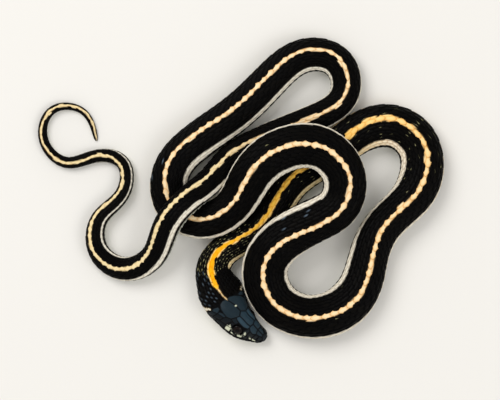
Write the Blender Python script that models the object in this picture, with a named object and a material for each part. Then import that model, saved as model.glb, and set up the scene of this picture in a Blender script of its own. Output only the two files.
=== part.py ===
"""A garter snake at life size, lying in loose loops on a flat surface.

The animal is one swept body. Its route over the ground is a smooth curve from the snout to the tip of the
tail, and every size is a profile along that curve, by distance from the snout. Head, lower jaw, eyes, neck,
lengths of the body and lengths of the tail are separate closed solids, parted by thin cuts. The belly scutes
and the shields of the head are raised in the solids. +Z is up, the belly rests on Z = 0, and the origin is the
middle of the footprint.
"""

import functools
import math

import bmesh
import bpy
import numpy as np
from mathutils import Matrix, Vector

MM = 0.001

# Driving dimensions, in millimetres unless a name says otherwise
TOTAL_LENGTH = 706.0
HEAD_END = 26.6
VENT = 536.0
CUT = 0.3
BODY_CUTS = (HEAD_END, 62, 100, 131, 163, 200, 230, 262, 296, 318, 352, 378, 420, 456, 482, VENT)
TAIL_CUTS = (VENT, 566, 590, 612, 632, 660, 682, TOTAL_LENGTH)
SCUTE_LENGTH = 7.0
SCUTE_STEP = 0.3
SCUTE_RAMP_SHARE = 0.45
SCUTE_LIP_SHARE = 0.06
BELLY_COSINE = -0.1
FOOTPRINT_SHIFT = (0.124, 0.519)

# Where the middle of the body runs over the ground, chosen by eye, from the snout back
ROUTE = (
    # snout, nape and the bend of the neck
    (8.8, -55.1), (4.5, -52.3), (0.5, -49.2), (-2.8, -45.4), (-5.9, -41.0), (-8.7, -35.9),
    (-10.2, -29.6), (-5.2, -22.0), (4.3, -16.0),
    # under the raised ring, and out into the right-hand loop
    (12.0, -8.0), (18.2, 1.6), (31.1, 11.9), (42.6, 20.1), (52.9, 23.2), (62.5, 19.5),
    (66.5, 10.6), (63.2, -2.3), (52.8, -13.2), (47.4, -23.2), (44.2, -34.6), (36.1, -44.5),
    # the lower loop and the arm that leads into the raised ring
    (22.5, -46.7), (11.4, -39.5), (8.9, -28.0), (16.0, -18.0), (28.4, -10.8), (34.8, -6.9),
    (37.8, -0.5), (36.2, 8.2), (28.8, 14.9), (14.6, 13.9), (4.2, 5.2), (-1.8, -4.7), (-13.4, -11.3),
    # under the tail and into the upper loop
    (-24.8, -6.0), (-25.7, 6.1), (-16.4, 17.2), (-0.3, 29.3), (11.1, 40.4), (23.7, 49.1),
    (35.8, 46.2), (38.1, 34.9), (26.4, 25.8), (6.8, 17.6), (-4.1, 11.1),
    # over the body and out along the tail to its curl
    (-10.5, 3.9), (-20.6, -5.1), (-27.1, -13.5), (-32.5, -25.1), (-43.5, -29.4), (-52.7, -22.5),
    (-52.1, -11.1), (-43.7, -1.7), (-43.8, 9.8), (-53.7, 12.1), (-64.5, 9.8), (-73.1, 18.4),
    (-69.4, 29.4), (-58.9, 28.9), (-53.6, 17.8),
)

# Profiles: (distance from the snout, value)
HALF_WIDTH = (
    (0, 1.3), (0.5, 2.2), (1.3, 2.75), (3.3, 3.55), (5, 4.3), (7, 5.2), (9, 6.0), (12.5, 6.8), (15, 7.2),
    (18, 7.8), (21, 8.3), (25, 8.2), (29, 7.1), (35, 6.2), (44, 5.7), (55, 5.8), (75, 6.4), (90, 6.9),
    (104, 7.35), (120, 8.0), (145, 8.0), (163, 7.1), (180, 7.25), (190, 7.75), (202, 8.2), (220, 7.9),
    (240, 8.35), (264, 8.2), (280, 7.9), (300, 8.0), (322, 8.25), (334, 7.9), (344, 7.3), (351, 7.0),
    (380, 7.0), (398, 7.1), (412, 6.95), (430, 6.75), (444, 6.5), (456, 6.2), (470, 5.65), (484, 5.25),
    (500, 5.3), (522, 5.1), (540, 5.0), (560, 5.1), (580, 4.5), (603, 3.7), (622, 2.85), (636, 2.6),
    (648, 2.3), (665, 1.85), (680, 1.55), (690, 1.3), (700, 1.05), (704, 0.85), (706, 0.5),
)
HEIGHT = (
    (0, 3.5), (0.5, 4.2), (2, 5.0), (4, 5.8), (7, 7.1), (9.6, 7.8), (13, 8.4), (18, 8.8), (24, 8.6),
    (30, 7.9), (38, 7.4), (70, 7.4), (95, 7.7), (125, 10.0), (200, 10.6), (330, 10.4), (350, 9.3),
    (378, 9.0), (395, 10.0), (430, 9.5), (470, 8.6), (500, 8.2), (538, 7.9), (560, 7.7), (590, 6.4),
    (620, 4.9), (645, 3.6), (665, 3.1), (690, 2.4), (702, 1.5), (706, 0.7),
)
CHIN = ((0, 2.3), (0.5, 1.5), (2, 0.8), (4, 0.35), (8, 0.0), (TOTAL_LENGTH, 0.0))
LIFT = (
    (0, 0.13), (20, 0.13), (27, 0.0), (214, 0.0), (228, 0.9), (240, 3.3), (252, 6.3), (266, 6.5),
    (282, 6.2), (296, 8.3), (306, 8.8), (325, 8.8), (334, 7.6), (344, 5.0), (351, 3.6), (358, 2.0),
    (367, 0.0), (512, 0.0), (524, 0.5), (531, 1.8), (540, 5.5), (548, 8.9), (553, 9.6), (558, 9.3),
    (563, 7.8), (570, 4.3), (577, 1.5), (585, 0.0), (TOTAL_LENGTH, 0.0),
)
ROLL_DEGREES = ((0, 12), (3, 20), (8, 29), (12, 29), (16, 25), (20, 18), (26, 8), (34, 0), (TOTAL_LENGTH, 0))
WIDEST_SHARE = ((0, 0.42), (9.6, 0.40), (24, 0.42), (34, 0.46), (TOTAL_LENGTH, 0.46))
TOP_POWER = ((0, 2.2), (6, 2.3), (12, 2.4), (22, 2.4), (34, 2.05), (TOTAL_LENGTH, 2.05))
BELLY_POWER = 2.4
BELLY_DEPTH = 1.12

# The head's own section, with its flat crown and flared lips: (angle from the top, share of the size)
HEAD_OUT = (
    (0, 0.0), (22, 0.36), (38, 0.50), (60, 0.72), (80, 0.90), (95, 0.985), (105, 1.0), (122, 0.90),
    (150.8, 0.55), (180, 0.0),
)
HEAD_UP = (
    (0, 1.0), (22, 0.985), (38, 0.92), (60, 0.68), (80, 0.44), (95, 0.32), (105, 0.25), (122, 0.10),
    (150.8, 0.0), (180, 0.0),
)
HEAD_SHARE = ((0, 0.5), (4, 1.0), (12, 1.0), (17, 0.5), (24, 0.0), (TOTAL_LENGTH, 0.0))

# Mouth, eyes and nostrils
MOUTH_LINE = ((-2, 1.9), (0.6, 1.95), (3, 2.3), (8, 2.45), (13, 2.6), (18, 3.1), (20.5, 3.3))
JAW_END = 20.5
JAW_STATIONS = (-2, 0.6, 3, 5.5, 8, 10.5, 13, 15.5, 18)
JAW_BLOCK_HALF_WIDTH = 12.0
JAW_BLOCK_FLOOR = -3.0
EYE_AT = 9.8
EYE_OUT = 3.5
EYE_HEIGHT = 4.8
EYE_RADIUS = 1.75
NOSTRIL_AT = 2.5
NOSTRIL_HEIGHT = 3.7
NOSTRIL_BALL_RADIUS = 0.7

# Shields of the head
SHIELD_PROUD = 0.24
SHIELD_ROOT = 0.55
SHIELD_INNER_SHARE = 0.6
LABIALS = 8
LABIAL_FRONT = 1.6
LABIAL_REAR = 19.6
LABIAL_GAP = 0.3
UPPER_LABIAL_HEIGHT = 1.35
LOWER_LABIAL_HEIGHT = 1.15

# Facets
BODY_ANGLES_DEGREES = (0.0, 30.0, 60.0, 90.0, 120.0, 150.8, 180.0)
HEAD_SIDES = 24
EYE_SIDES = 18
HEAD_RINGS = (
    0, 0.4, 1.0, 1.8, 2.8, 4, 5.4, 6.8, 8.2, 9.6, 11, 12.6, 14.4, 16.4, 18.4, 20.4, 22.4, 24.4,
    HEAD_END - CUT / 2,
)

# Finishes
COLOURS = {
    "black_scales": ((0.012, 0.010, 0.009), 0.42),
    "head_shields": ((0.045, 0.060, 0.075), 0.34),
    "pale_chin": ((0.62, 0.62, 0.52), 0.45),
    "eye": ((0.010, 0.007, 0.006), 0.08),
}


def profile(stations, at):
    """The value of a profile at some distances, on a smooth curve that never overshoots its stations."""
    x, y = np.array(stations, float).T
    run = np.diff(x)
    slope = np.diff(y) / run
    tangent = np.zeros(len(x))
    tangent[0] = slope[0]
    tangent[-1] = slope[-1]
    before = 2 * run[1:] + run[:-1]
    after = run[1:] + 2 * run[:-1]
    rising = slope[1:] * slope[:-1] > 0
    ahead = np.where(rising, slope[1:], 1.0)
    behind = np.where(rising, slope[:-1], 1.0)
    mean = (before + after) * ahead * behind / (before * ahead + after * behind)
    tangent[1:-1] = np.where(rising, mean, 0.0)
    at = np.clip(np.asarray(at, float), x[0], x[-1])
    i = np.clip(np.searchsorted(x, at) - 1, 0, len(run) - 1)
    t = (at - x[i]) / run[i]
    rise = y[i] * (2 * t**3 - 3 * t**2 + 1) + y[i + 1] * (3 * t**2 - 2 * t**3)
    return rise + run[i] * (tangent[i] * (t**3 - 2 * t**2 + t) + tangent[i + 1] * (t**3 - t**2))


def natural_spline(knots, values, at):
    """A natural cubic spline through the values at the knots."""
    run = np.diff(knots)
    count = len(knots)
    system = np.eye(count)
    right = np.zeros(count)
    for i in range(1, count - 1):
        system[i, i - 1 : i + 2] = run[i - 1], 2 * (run[i - 1] + run[i]), run[i]
        right[i] = 6 * ((values[i + 1] - values[i]) / run[i] - (values[i] - values[i - 1]) / run[i - 1])
    bend = np.linalg.solve(system, right)
    i = np.clip(np.searchsorted(knots, at) - 1, 0, count - 2)
    a = (knots[i + 1] - at) / run[i]
    b = (at - knots[i]) / run[i]
    curve = (a**3 - a) * bend[i] + (b**3 - b) * bend[i + 1]
    return a * values[i] + b * values[i + 1] + curve * run[i] ** 2 / 6


class Route:
    """The line over the ground that the middle of the body follows, read by distance from the snout."""

    STEPS = 8000

    def __init__(self, points):
        points = np.array(points, float) + np.array(FOOTPRINT_SHIFT)
        knots = np.r_[0, np.cumsum(np.linalg.norm(np.diff(points, axis=0), axis=1))]
        fine = np.linspace(0, knots[-1], self.STEPS)
        line = np.stack([natural_spline(knots, points[:, k], fine) for k in (0, 1)], 1)
        self.distance = np.r_[0, np.cumsum(np.linalg.norm(np.diff(line, axis=0), axis=1))]
        self.distance *= TOTAL_LENGTH / self.distance[-1]
        self.line = line
        way = np.gradient(line, axis=0)
        self.way = way / np.linalg.norm(way, axis=1)[:, None]

    def at(self, distance):
        """(point, direction to the left of travel). Before the snout the line runs on straight."""
        point = np.array([np.interp(distance, self.distance, self.line[:, k]) for k in (0, 1)])
        way = np.array([np.interp(distance, self.distance, self.way[:, k]) for k in (0, 1)])
        way /= np.linalg.norm(way)
        return point + way * min(distance, 0.0), np.array([-way[1], way[0]])


ROUTE_LINE = Route(ROUTE)


class Slice:
    """All the measures of the body at one distance from the snout."""

    def __init__(self, distance):
        self.wide = float(profile(HALF_WIDTH, distance))
        self.top = float(profile(HEIGHT, distance))
        self.low = float(profile(CHIN, distance))
        self.middle = self.low + (self.top - self.low) * float(profile(WIDEST_SHARE, distance))
        self.top_power = float(profile(TOP_POWER, distance))
        self.head_share = float(profile(HEAD_SHARE, distance))
        self.roll = math.radians(float(profile(ROLL_DEGREES, distance)))
        self.point, self.left = ROUTE_LINE.at(distance)
        around = round_angles((*range(90, 180, 3), *BODY_ANGLES_DEGREES))
        lowest = min(self.turned(*self.section(a))[1] for a in around)
        self.lift = float(profile(LIFT, distance)) - min(0.0, lowest)

    def section(self, angle):
        """(reach to the left, height over the belly) of the skin at an angle from the top of the back."""
        cos, sin = math.cos(angle), math.sin(angle)
        power, reach = self.top_power, self.top - self.middle
        if cos < 0:
            power, reach = BELLY_POWER, (self.middle - self.low) * BELLY_DEPTH
        out = self.wide * abs(sin) ** (2 / power)
        up = self.middle + math.copysign(reach * abs(cos) ** (2 / power), cos)
        if self.head_share > 0:
            degrees = abs(math.degrees(math.remainder(angle, math.tau)))
            out += self.head_share * (self.wide * float(profile(HEAD_OUT, degrees)) - out)
            up += self.head_share * (self.low + (self.top - self.low) * float(profile(HEAD_UP, degrees)) - up)
        return math.copysign(out, sin), max(up, self.low)

    def turned(self, out, up):
        """A point of the section after the roll of the head and nape."""
        cos, sin = math.cos(self.roll), math.sin(self.roll)
        rise = up - self.middle
        return out * cos - rise * sin, self.middle + out * sin + rise * cos


@functools.lru_cache(maxsize=None)
def slice_at(distance):
    return Slice(distance)


def place(distance, out, up):
    """The point in space, in metres, of a place given by distance, leftward reach and height."""
    here = slice_at(float(distance))
    out, up = here.turned(out, up)
    x, y = here.point + here.left * out
    return Vector((x, y, up + here.lift)) * MM


def skin(distance, angle, proud=0.0):
    """The point on the skin at an angle from the top of the back, pushed out by proud."""
    here = slice_at(float(distance))
    out, up = here.section(angle)
    if proud:
        step = 0.02
        a = Vector(here.section(angle - step))
        b = Vector(here.section(angle + step))
        along = (b - a).normalized()
        out += along.y * -proud
        up += along.x * proud
    return place(distance, out, up)


def material(name):
    colour, roughness = COLOURS[name]
    made = bpy.data.materials.get(name)
    if made is None:
        made = bpy.data.materials.new(name)
        made.use_nodes = True
        shader = made.node_tree.nodes["Principled BSDF"]
        shader.inputs["Base Color"].default_value = (*colour, 1.0)
        shader.inputs["Roughness"].default_value = roughness
        made.diffuse_color = (*colour, 1.0)
    return made


def add_object(name, mesh, finish, hidden=False):
    """A named object with its origin in the middle of its own shape."""
    centre = sum((v.co for v in mesh.vertices), Vector()) / len(mesh.vertices)
    mesh.transform(Matrix.Translation(-centre))
    mesh.materials.append(material(finish))
    mesh.shade_smooth()
    mesh.set_sharp_from_angle(angle=math.radians(40))
    made = bpy.data.objects.new(name, mesh)
    made.location = centre
    made.hide_render = hidden
    if hidden:
        made.display_type = "WIRE"
    bpy.context.scene.collection.objects.link(made)
    return made


def closed_tube(name, rings):
    """A mesh through rings of points, closed by a flat face at each end."""
    form = bmesh.new()
    rows = [[form.verts.new(p) for p in ring] for ring in rings]
    for front, back in zip(rows, rows[1:]):
        for i, vertex in enumerate(front):
            j = (i + 1) % len(front)
            form.faces.new((vertex, back[i], back[j], front[j]))
    form.faces.new(rows[0])
    form.faces.new(reversed(rows[-1]))
    bmesh.ops.recalc_face_normals(form, faces=form.faces)
    mesh = bpy.data.meshes.new(name)
    form.to_mesh(mesh)
    form.free()
    return mesh


def round_angles(degrees):
    """Angles all the way round, from half of them: the other half mirrors it."""
    half = [math.radians(a) for a in degrees]
    return half + [-a for a in reversed(half[1:-1])]


def body_ring(distance, sunk):
    """One ring of the body. Where sunk is set, its belly lies one scute step inside the skin."""
    ring = []
    for angle in round_angles(BODY_ANGLES_DEGREES):
        belly = math.cos(angle) < BELLY_COSINE
        size = float(profile(HEIGHT, distance)) / profile(HEIGHT, VENT)
        depth = -SCUTE_STEP * min(1.0, size) if sunk and belly else 0.0
        ring.append(skin(distance, angle, depth))
    return ring


def body_length(name, start, end):
    """A length of the body or tail: each scute ramps up from a notch, runs flat, and ends in a lip."""
    rings = []
    bounds = np.linspace(start, end, round((end - start) / SCUTE_LENGTH) + 1)
    for number, (front, rear) in enumerate(zip(bounds, bounds[1:])):
        pitch = rear - front
        notch = front + (CUT / 2 if number == 0 else 0.0)
        rings.append(body_ring(notch, True))
        rings.append(body_ring(front + pitch * SCUTE_RAMP_SHARE, False))
        rings.append(body_ring(rear - pitch * SCUTE_LIP_SHARE, False))
    last = end - CUT / 2 if end < TOTAL_LENGTH else end
    rings.append(body_ring(last, True))
    return add_object(name, closed_tube(name, rings), "black_scales")


def build_body():
    for number, (front, rear) in enumerate(zip(BODY_CUTS, BODY_CUTS[1:])):
        body_length("neck" if number == 0 else f"body_{number:02d}", front, rear)


def build_tail():
    for number, (front, rear) in enumerate(zip(TAIL_CUTS, TAIL_CUTS[1:])):
        body_length(f"tail_{number + 1}", front, rear)


@functools.lru_cache(maxsize=None)
def half_outline(distance):
    """(angles, leftward reaches, heights) of the left half of a section, from the top to the underside."""
    here = slice_at(distance)
    angles = np.radians(np.arange(0, 181, 3))
    out, up = np.array([here.section(a) for a in angles]).T
    return angles, out, up


def angle_of_reach(distance, out):
    """The angle from the top of the head at which the skin is a given reach to the side."""
    angles, outs, _ = half_outline(float(distance))
    widest = int(np.argmax(outs))
    return math.copysign(float(np.interp(abs(out), outs[: widest + 1], angles[: widest + 1])), out)


def angle_of_height(distance, up):
    """The angle from the top of the head at which the skin of its side is at a given height."""
    angles, _, ups = half_outline(float(distance))
    return float(np.interp(-up, -ups, angles))


def shield(name, corners, large):
    """A raised plate on the head. Its corners are (distance, angle), and its root is sunk in the head."""
    edge = np.array(corners, float)
    middle = edge.mean(axis=0)
    if large:
        halfway = (edge + np.roll(edge, -1, axis=0)) / 2
        edge = np.stack([edge, halfway], 1).reshape(-1, 2)
    form = bmesh.new()
    layers = []
    for proud in (SHIELD_PROUD, -SHIELD_ROOT):
        hub = form.verts.new(skin(*middle, proud))
        outer = [form.verts.new(skin(*p, proud)) for p in edge]
        rim = outer
        if large and proud > 0:
            rim = [form.verts.new(skin(*(middle + SHIELD_INNER_SHARE * (p - middle)), proud)) for p in edge]
        for i in range(len(edge)):
            j = (i + 1) % len(edge)
            form.faces.new((hub, rim[i], rim[j]))
            if rim is not outer:
                form.faces.new((rim[i], outer[i], outer[j], rim[j]))
        layers.append(outer)
    for i in range(len(edge)):
        j = (i + 1) % len(edge)
        form.faces.new((layers[0][i], layers[1][i], layers[1][j], layers[0][j]))
    bmesh.ops.triangulate(form, faces=form.faces)
    bmesh.ops.recalc_face_normals(form, faces=form.faces)
    mesh = bpy.data.meshes.new(name)
    form.to_mesh(mesh)
    form.free()
    return mesh


def top_shields():
    """Corners of the shields on top of the head as (distance, reach), for the left one of each pair."""
    internasal = ((1.4, 0.15), (1.3, 0.85), (2.4, 1.4), (3.6, 1.6), (4.0, 0.15))
    prefrontal = ((4.4, 0.15), (3.9, 1.65), (4.8, 2.5), (6.1, 2.5), (6.9, 1.9), (7.0, 1.5), (6.7, 0.15))
    supraocular = (
        (7.3, 1.85), (7.3, 2.2), (7.6, 2.8), (8.9, 3.3), (11.0, 3.35), (12.4, 3.2), (13.0, 2.8), (12.6, 1.95),
        (10.9, 1.7), (8.5, 1.8),
    )
    parietal = (
        (13.1, 1.85), (14.5, 0.15), (20.7, 0.15), (21.0, 1.4), (20.3, 3.0), (19.0, 4.1), (17.3, 4.8),
        (15.6, 4.9), (14.3, 4.4), (13.4, 3.1),
    )
    nasal = ((1.4, 1.25), (2.5, 1.8), (3.6, 2.0), (3.9, 2.8), (2.5, 2.6), (1.5, 2.1))
    frontal = (
        (7.0, 0.0), (7.4, 1.2), (8.5, 1.35), (10.9, 1.25), (12.7, 1.45), (13.9, 0.0), (12.7, -1.45),
        (10.9, -1.25), (8.5, -1.35), (7.4, -1.2),
    )
    pairs = (internasal, prefrontal, supraocular, parietal, nasal)
    sided = [[(d, side * y) for d, y in corners] for corners in pairs for side in (1, -1)]
    return [*sided, list(frontal)]


def lip_shields(height, upward):
    """Corners of the shields along one lip, both sides, as (distance, height over the chin)."""
    edges = np.linspace(LABIAL_FRONT, LABIAL_REAR, LABIALS + 1)
    found = []
    for front, rear in zip(edges, edges[1:]):
        corners = []
        for distance, share in ((front, 0), (rear, 0), (rear, 1), (front, 1)):
            inset = LABIAL_GAP / 2 if distance == front else -LABIAL_GAP / 2
            lip = float(profile(MOUTH_LINE, distance)) + upward * LABIAL_GAP
            chin = slice_at(float(distance)).low + LABIAL_GAP
            corners.append((distance + inset, max(lip + upward * share * height, chin)))
        found.append(corners)
    return found


def shield_meshes():
    made = []
    for number, corners in enumerate(top_shields()):
        spots = [(d, angle_of_reach(d, y)) for d, y in corners]
        made.append(shield(f"top_shield_{number}", spots, large=True))
    rows = lip_shields(UPPER_LABIAL_HEIGHT, 1) + lip_shields(LOWER_LABIAL_HEIGHT, -1)
    for number, corners in enumerate(rows):
        for side in (1, -1):
            spots = [(d, side * angle_of_height(d, z)) for d, z in corners]
            made.append(shield(f"lip_shield_{number}_{side}", spots, large=False))
    return made


def jaw_region(name, shift):
    """A block through the head that holds the lower jaw: its top is the line of the mouth, moved by shift."""
    front, rear = JAW_STATIONS[0], JAW_END + shift
    side = [(d, float(profile(MOUTH_LINE, d)) + shift) for d in JAW_STATIONS]
    side.append((rear, float(profile(MOUTH_LINE, JAW_END)) + shift))
    side += [(rear, JAW_BLOCK_FLOOR), (front, JAW_BLOCK_FLOOR)]
    reaches = (-JAW_BLOCK_HALF_WIDTH, JAW_BLOCK_HALF_WIDTH)
    form = bmesh.new()
    walls = [[form.verts.new(place(d, out, z)) for d, z in side] for out in reaches]
    for i in range(len(side)):
        j = (i + 1) % len(side)
        form.faces.new((walls[0][i], walls[0][j], walls[1][j], walls[1][i]))
    form.faces.new(walls[0])
    form.faces.new(reversed(walls[1]))
    bmesh.ops.triangulate(form, faces=form.faces)
    bmesh.ops.recalc_face_normals(form, faces=form.faces)
    mesh = bpy.data.meshes.new(name)
    form.to_mesh(mesh)
    form.free()
    return add_object(name, mesh, "pale_chin", hidden=True)


def ball(name, centre, radius, finish, hidden=False):
    form = bmesh.new()
    bmesh.ops.create_uvsphere(form, u_segments=EYE_SIDES, v_segments=EYE_SIDES // 2, radius=radius * MM)
    bmesh.ops.translate(form, verts=form.verts, vec=centre)
    mesh = bpy.data.meshes.new(name)
    form.to_mesh(mesh)
    form.free()
    return add_object(name, mesh, finish, hidden)


def cut(target, cutter, operation):
    """Applies one Boolean with another object to the target."""
    step = target.modifiers.new(operation.lower(), "BOOLEAN")
    step.operation = operation
    step.object = cutter
    step.solver = "MANIFOLD"
    bpy.context.view_layer.objects.active = target
    bpy.ops.object.modifier_apply(modifier=step.name)


def join_all(target, meshes):
    """One Boolean union of the target with a collection of closed shapes, which are then removed."""
    group = bpy.data.collections.new("joined")
    bpy.context.scene.collection.children.link(group)
    for mesh in meshes:
        group.objects.link(bpy.data.objects.new(mesh.name, mesh))
    step = target.modifiers.new("join", "BOOLEAN")
    step.operation = "UNION"
    step.operand_type = "COLLECTION"
    step.collection = group
    step.solver = "MANIFOLD"
    bpy.context.view_layer.objects.active = target
    bpy.ops.object.modifier_apply(modifier=step.name)
    for joined in list(group.objects):
        bpy.data.objects.remove(joined)
    bpy.data.collections.remove(group)


def keep_largest(target):
    """Keeps only the largest closed surface of a mesh."""
    form = bmesh.new()
    form.from_mesh(target.data)
    form.verts.ensure_lookup_table()
    group = [-1] * len(form.verts)
    sizes = []
    for vertex in form.verts:
        if group[vertex.index] >= 0:
            continue
        waiting = [vertex]
        group[vertex.index] = len(sizes)
        count = 0
        while waiting:
            here = waiting.pop()
            count += 1
            for edge in here.link_edges:
                there = edge.other_vert(here)
                if group[there.index] < 0:
                    group[there.index] = len(sizes)
                    waiting.append(there)
        sizes.append(count)
    keep = sizes.index(max(sizes))
    bmesh.ops.delete(form, geom=[v for v in form.verts if group[v.index] != keep], context="VERTS")
    form.to_mesh(target.data)
    form.free()


def duplicate(source, name, finish):
    mesh = source.data.copy()
    mesh.transform(Matrix.Translation(source.location))
    mesh.materials.clear()
    return add_object(name, mesh, finish)


def build_head():
    angles = [math.tau * i / HEAD_SIDES for i in range(HEAD_SIDES)]
    rings = [[skin(d, a) for a in angles] for d in HEAD_RINGS]
    head = add_object("head", closed_tube("head", rings), "head_shields")
    join_all(head, shield_meshes())
    jaw = duplicate(head, "lower_jaw", "pale_chin")
    regions = (jaw_region("jaw_room", CUT / 2), jaw_region("jaw_shape", -CUT / 2))
    cut(head, regions[0], "DIFFERENCE")
    cut(jaw, regions[1], "INTERSECT")
    cutters = list(regions)
    for side, name in ((1, "eye_right"), (-1, "eye_left")):
        centre = place(EYE_AT, side * EYE_OUT, EYE_HEIGHT)
        ball(name, centre, EYE_RADIUS, "eye")
        socket = ball(f"socket_{name}", centre, EYE_RADIUS + CUT, "eye", hidden=True)
        spot = skin(NOSTRIL_AT, side * angle_of_height(NOSTRIL_AT, NOSTRIL_HEIGHT))
        hole = ball(f"nostril_{side}", spot, NOSTRIL_BALL_RADIUS, "eye", hidden=True)
        for cutter in (socket, hole):
            cut(head, cutter, "DIFFERENCE")
            cutters.append(cutter)
    for cutter in cutters:
        bpy.data.objects.remove(cutter)
    keep_largest(head)
    keep_largest(jaw)


def main():
    for old in list(bpy.data.objects):
        bpy.data.objects.remove(old)
    build_head()
    build_body()
    build_tail()


main()
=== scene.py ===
"""A garter snake lying in loose loops: its skin, scales, belly scutes, head shields and eyes."""

import math

import bpy
import numpy as np
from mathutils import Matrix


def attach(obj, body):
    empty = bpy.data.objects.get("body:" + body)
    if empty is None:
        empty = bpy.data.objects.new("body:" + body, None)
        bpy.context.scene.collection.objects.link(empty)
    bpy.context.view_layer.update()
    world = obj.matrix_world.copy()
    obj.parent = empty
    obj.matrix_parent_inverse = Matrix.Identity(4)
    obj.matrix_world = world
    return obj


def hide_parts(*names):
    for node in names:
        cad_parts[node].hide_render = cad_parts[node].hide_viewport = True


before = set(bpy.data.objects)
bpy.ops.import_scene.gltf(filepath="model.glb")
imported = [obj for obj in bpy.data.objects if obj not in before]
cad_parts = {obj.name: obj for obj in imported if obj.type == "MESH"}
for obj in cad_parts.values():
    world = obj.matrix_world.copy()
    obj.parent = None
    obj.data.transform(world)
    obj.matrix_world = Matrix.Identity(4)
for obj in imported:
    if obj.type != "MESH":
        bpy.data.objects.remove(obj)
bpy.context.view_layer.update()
bpy.ops.object.select_all(action="DESELECT")
MM = 0.001

# The skin
# One soft dark hide covers the body from the nape to the tip of the tail. The scales are folds of its outer
# layer, so it lies a little inside them and shows only as the dark lines between them.

LENGTH = 706.0
VENT = 536.0
SKIN_FRONT = 18.5
SKIN_DEPTH = 0.16
BELLY_SKIN_DEPTH = 0.32
BELLY_SKIN_FROM = 0.57
SKIN_RING_STEP = 0.75
SKIN_SIDES = 48

FOOTPRINT_SHIFT = (0.124, 0.519)
ROUTE = (
    # snout, nape and the bend of the neck
    (8.8, -55.1), (4.5, -52.3), (0.5, -49.2), (-2.8, -45.4), (-5.9, -41.0), (-8.7, -35.9),
    (-10.2, -29.6), (-5.2, -22.0), (4.3, -16.0),
    # under the raised ring, and out into the right-hand loop
    (12.0, -8.0), (18.2, 1.6), (31.1, 11.9), (42.6, 20.1), (52.9, 23.2), (62.5, 19.5),
    (66.5, 10.6), (63.2, -2.3), (52.8, -13.2), (47.4, -23.2), (44.2, -34.6), (36.1, -44.5),
    # the lower loop and the arm that leads into the raised ring
    (22.5, -46.7), (11.4, -39.5), (8.9, -28.0), (16.0, -18.0), (28.4, -10.8), (34.8, -6.9),
    (37.8, -0.5), (36.2, 8.2), (28.8, 14.9), (14.6, 13.9), (4.2, 5.2), (-1.8, -4.7), (-13.4, -11.3),
    # under the tail and into the upper loop
    (-24.8, -6.0), (-25.7, 6.1), (-16.4, 17.2), (-0.3, 29.3), (11.1, 40.4), (23.7, 49.1),
    (35.8, 46.2), (38.1, 34.9), (26.4, 25.8), (6.8, 17.6), (-4.1, 11.1),
    # over the body and out along the tail to its curl
    (-10.5, 3.9), (-20.6, -5.1), (-27.1, -13.5), (-32.5, -25.1), (-43.5, -29.4), (-52.7, -22.5),
    (-52.1, -11.1), (-43.7, -1.7), (-43.8, 9.8), (-53.7, 12.1), (-64.5, 9.8), (-73.1, 18.4),
    (-69.4, 29.4), (-58.9, 28.9), (-53.6, 17.8),
)
HALF_WIDTH = (
    (0, 1.3), (0.5, 2.2), (1.3, 2.75), (3.3, 3.55), (5, 4.3), (7, 5.2), (9, 6.0), (12.5, 6.8), (15, 7.2),
    (18, 7.8), (21, 8.3), (25, 8.2), (29, 7.1), (35, 6.2), (44, 5.7), (55, 5.8), (75, 6.4), (90, 6.9),
    (104, 7.35), (120, 8.0), (145, 8.0), (163, 7.1), (180, 7.25), (190, 7.75), (202, 8.2), (220, 7.9),
    (240, 8.35), (264, 8.2), (280, 7.9), (300, 8.0), (322, 8.25), (334, 7.9), (344, 7.3), (351, 7.0),
    (380, 7.0), (398, 7.1), (412, 6.95), (430, 6.75), (444, 6.5), (456, 6.2), (470, 5.65), (484, 5.25),
    (500, 5.3), (522, 5.1), (540, 5.0), (560, 5.1), (580, 4.5), (603, 3.7), (622, 2.85), (636, 2.6),
    (648, 2.3), (665, 1.85), (680, 1.55), (690, 1.3), (700, 1.05), (704, 0.85), (706, 0.5),
)
HEIGHT = (
    (0, 3.5), (0.5, 4.2), (2, 5.0), (4, 5.8), (7, 7.1), (9.6, 7.8), (13, 8.4), (18, 8.8), (24, 8.6),
    (30, 7.9), (38, 7.4), (70, 7.4), (95, 7.7), (125, 10.0), (200, 10.6), (330, 10.4), (350, 9.3),
    (378, 9.0), (395, 10.0), (430, 9.5), (470, 8.6), (500, 8.2), (538, 7.9), (560, 7.7), (590, 6.4),
    (620, 4.9), (645, 3.6), (665, 3.1), (690, 2.4), (702, 1.5), (706, 0.7),
)
CHIN = ((0, 2.3), (0.5, 1.5), (2, 0.8), (4, 0.35), (8, 0.0), (LENGTH, 0.0))
LIFT = (
    (0, 0.13), (20, 0.13), (27, 0.0), (214, 0.0), (228, 0.9), (240, 3.3), (252, 6.3), (266, 6.5),
    (282, 6.2), (296, 8.3), (306, 8.8), (325, 8.8), (334, 7.6), (344, 5.0), (351, 3.6), (358, 2.0),
    (367, 0.0), (512, 0.0), (524, 0.5), (531, 1.8), (540, 5.5), (548, 8.9), (553, 9.6), (558, 9.3),
    (563, 7.8), (570, 4.3), (577, 1.5), (585, 0.0), (LENGTH, 0.0),
)
ROLL_DEGREES = ((0, 12), (3, 20), (8, 29), (12, 29), (16, 25), (20, 18), (26, 8), (34, 0), (LENGTH, 0))
WIDEST_SHARE = ((0, 0.42), (9.6, 0.40), (24, 0.42), (34, 0.46), (LENGTH, 0.46))
TOP_POWER = ((0, 2.2), (6, 2.3), (12, 2.4), (22, 2.4), (34, 2.05), (LENGTH, 2.05))
BELLY_POWER = 2.4
BELLY_DEPTH = 1.12
HEAD_OUT = (
    (0, 0.0), (22, 0.36), (38, 0.50), (60, 0.72), (80, 0.90), (95, 0.985), (105, 1.0), (122, 0.90),
    (150.8, 0.55), (180, 0.0),
)
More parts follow.
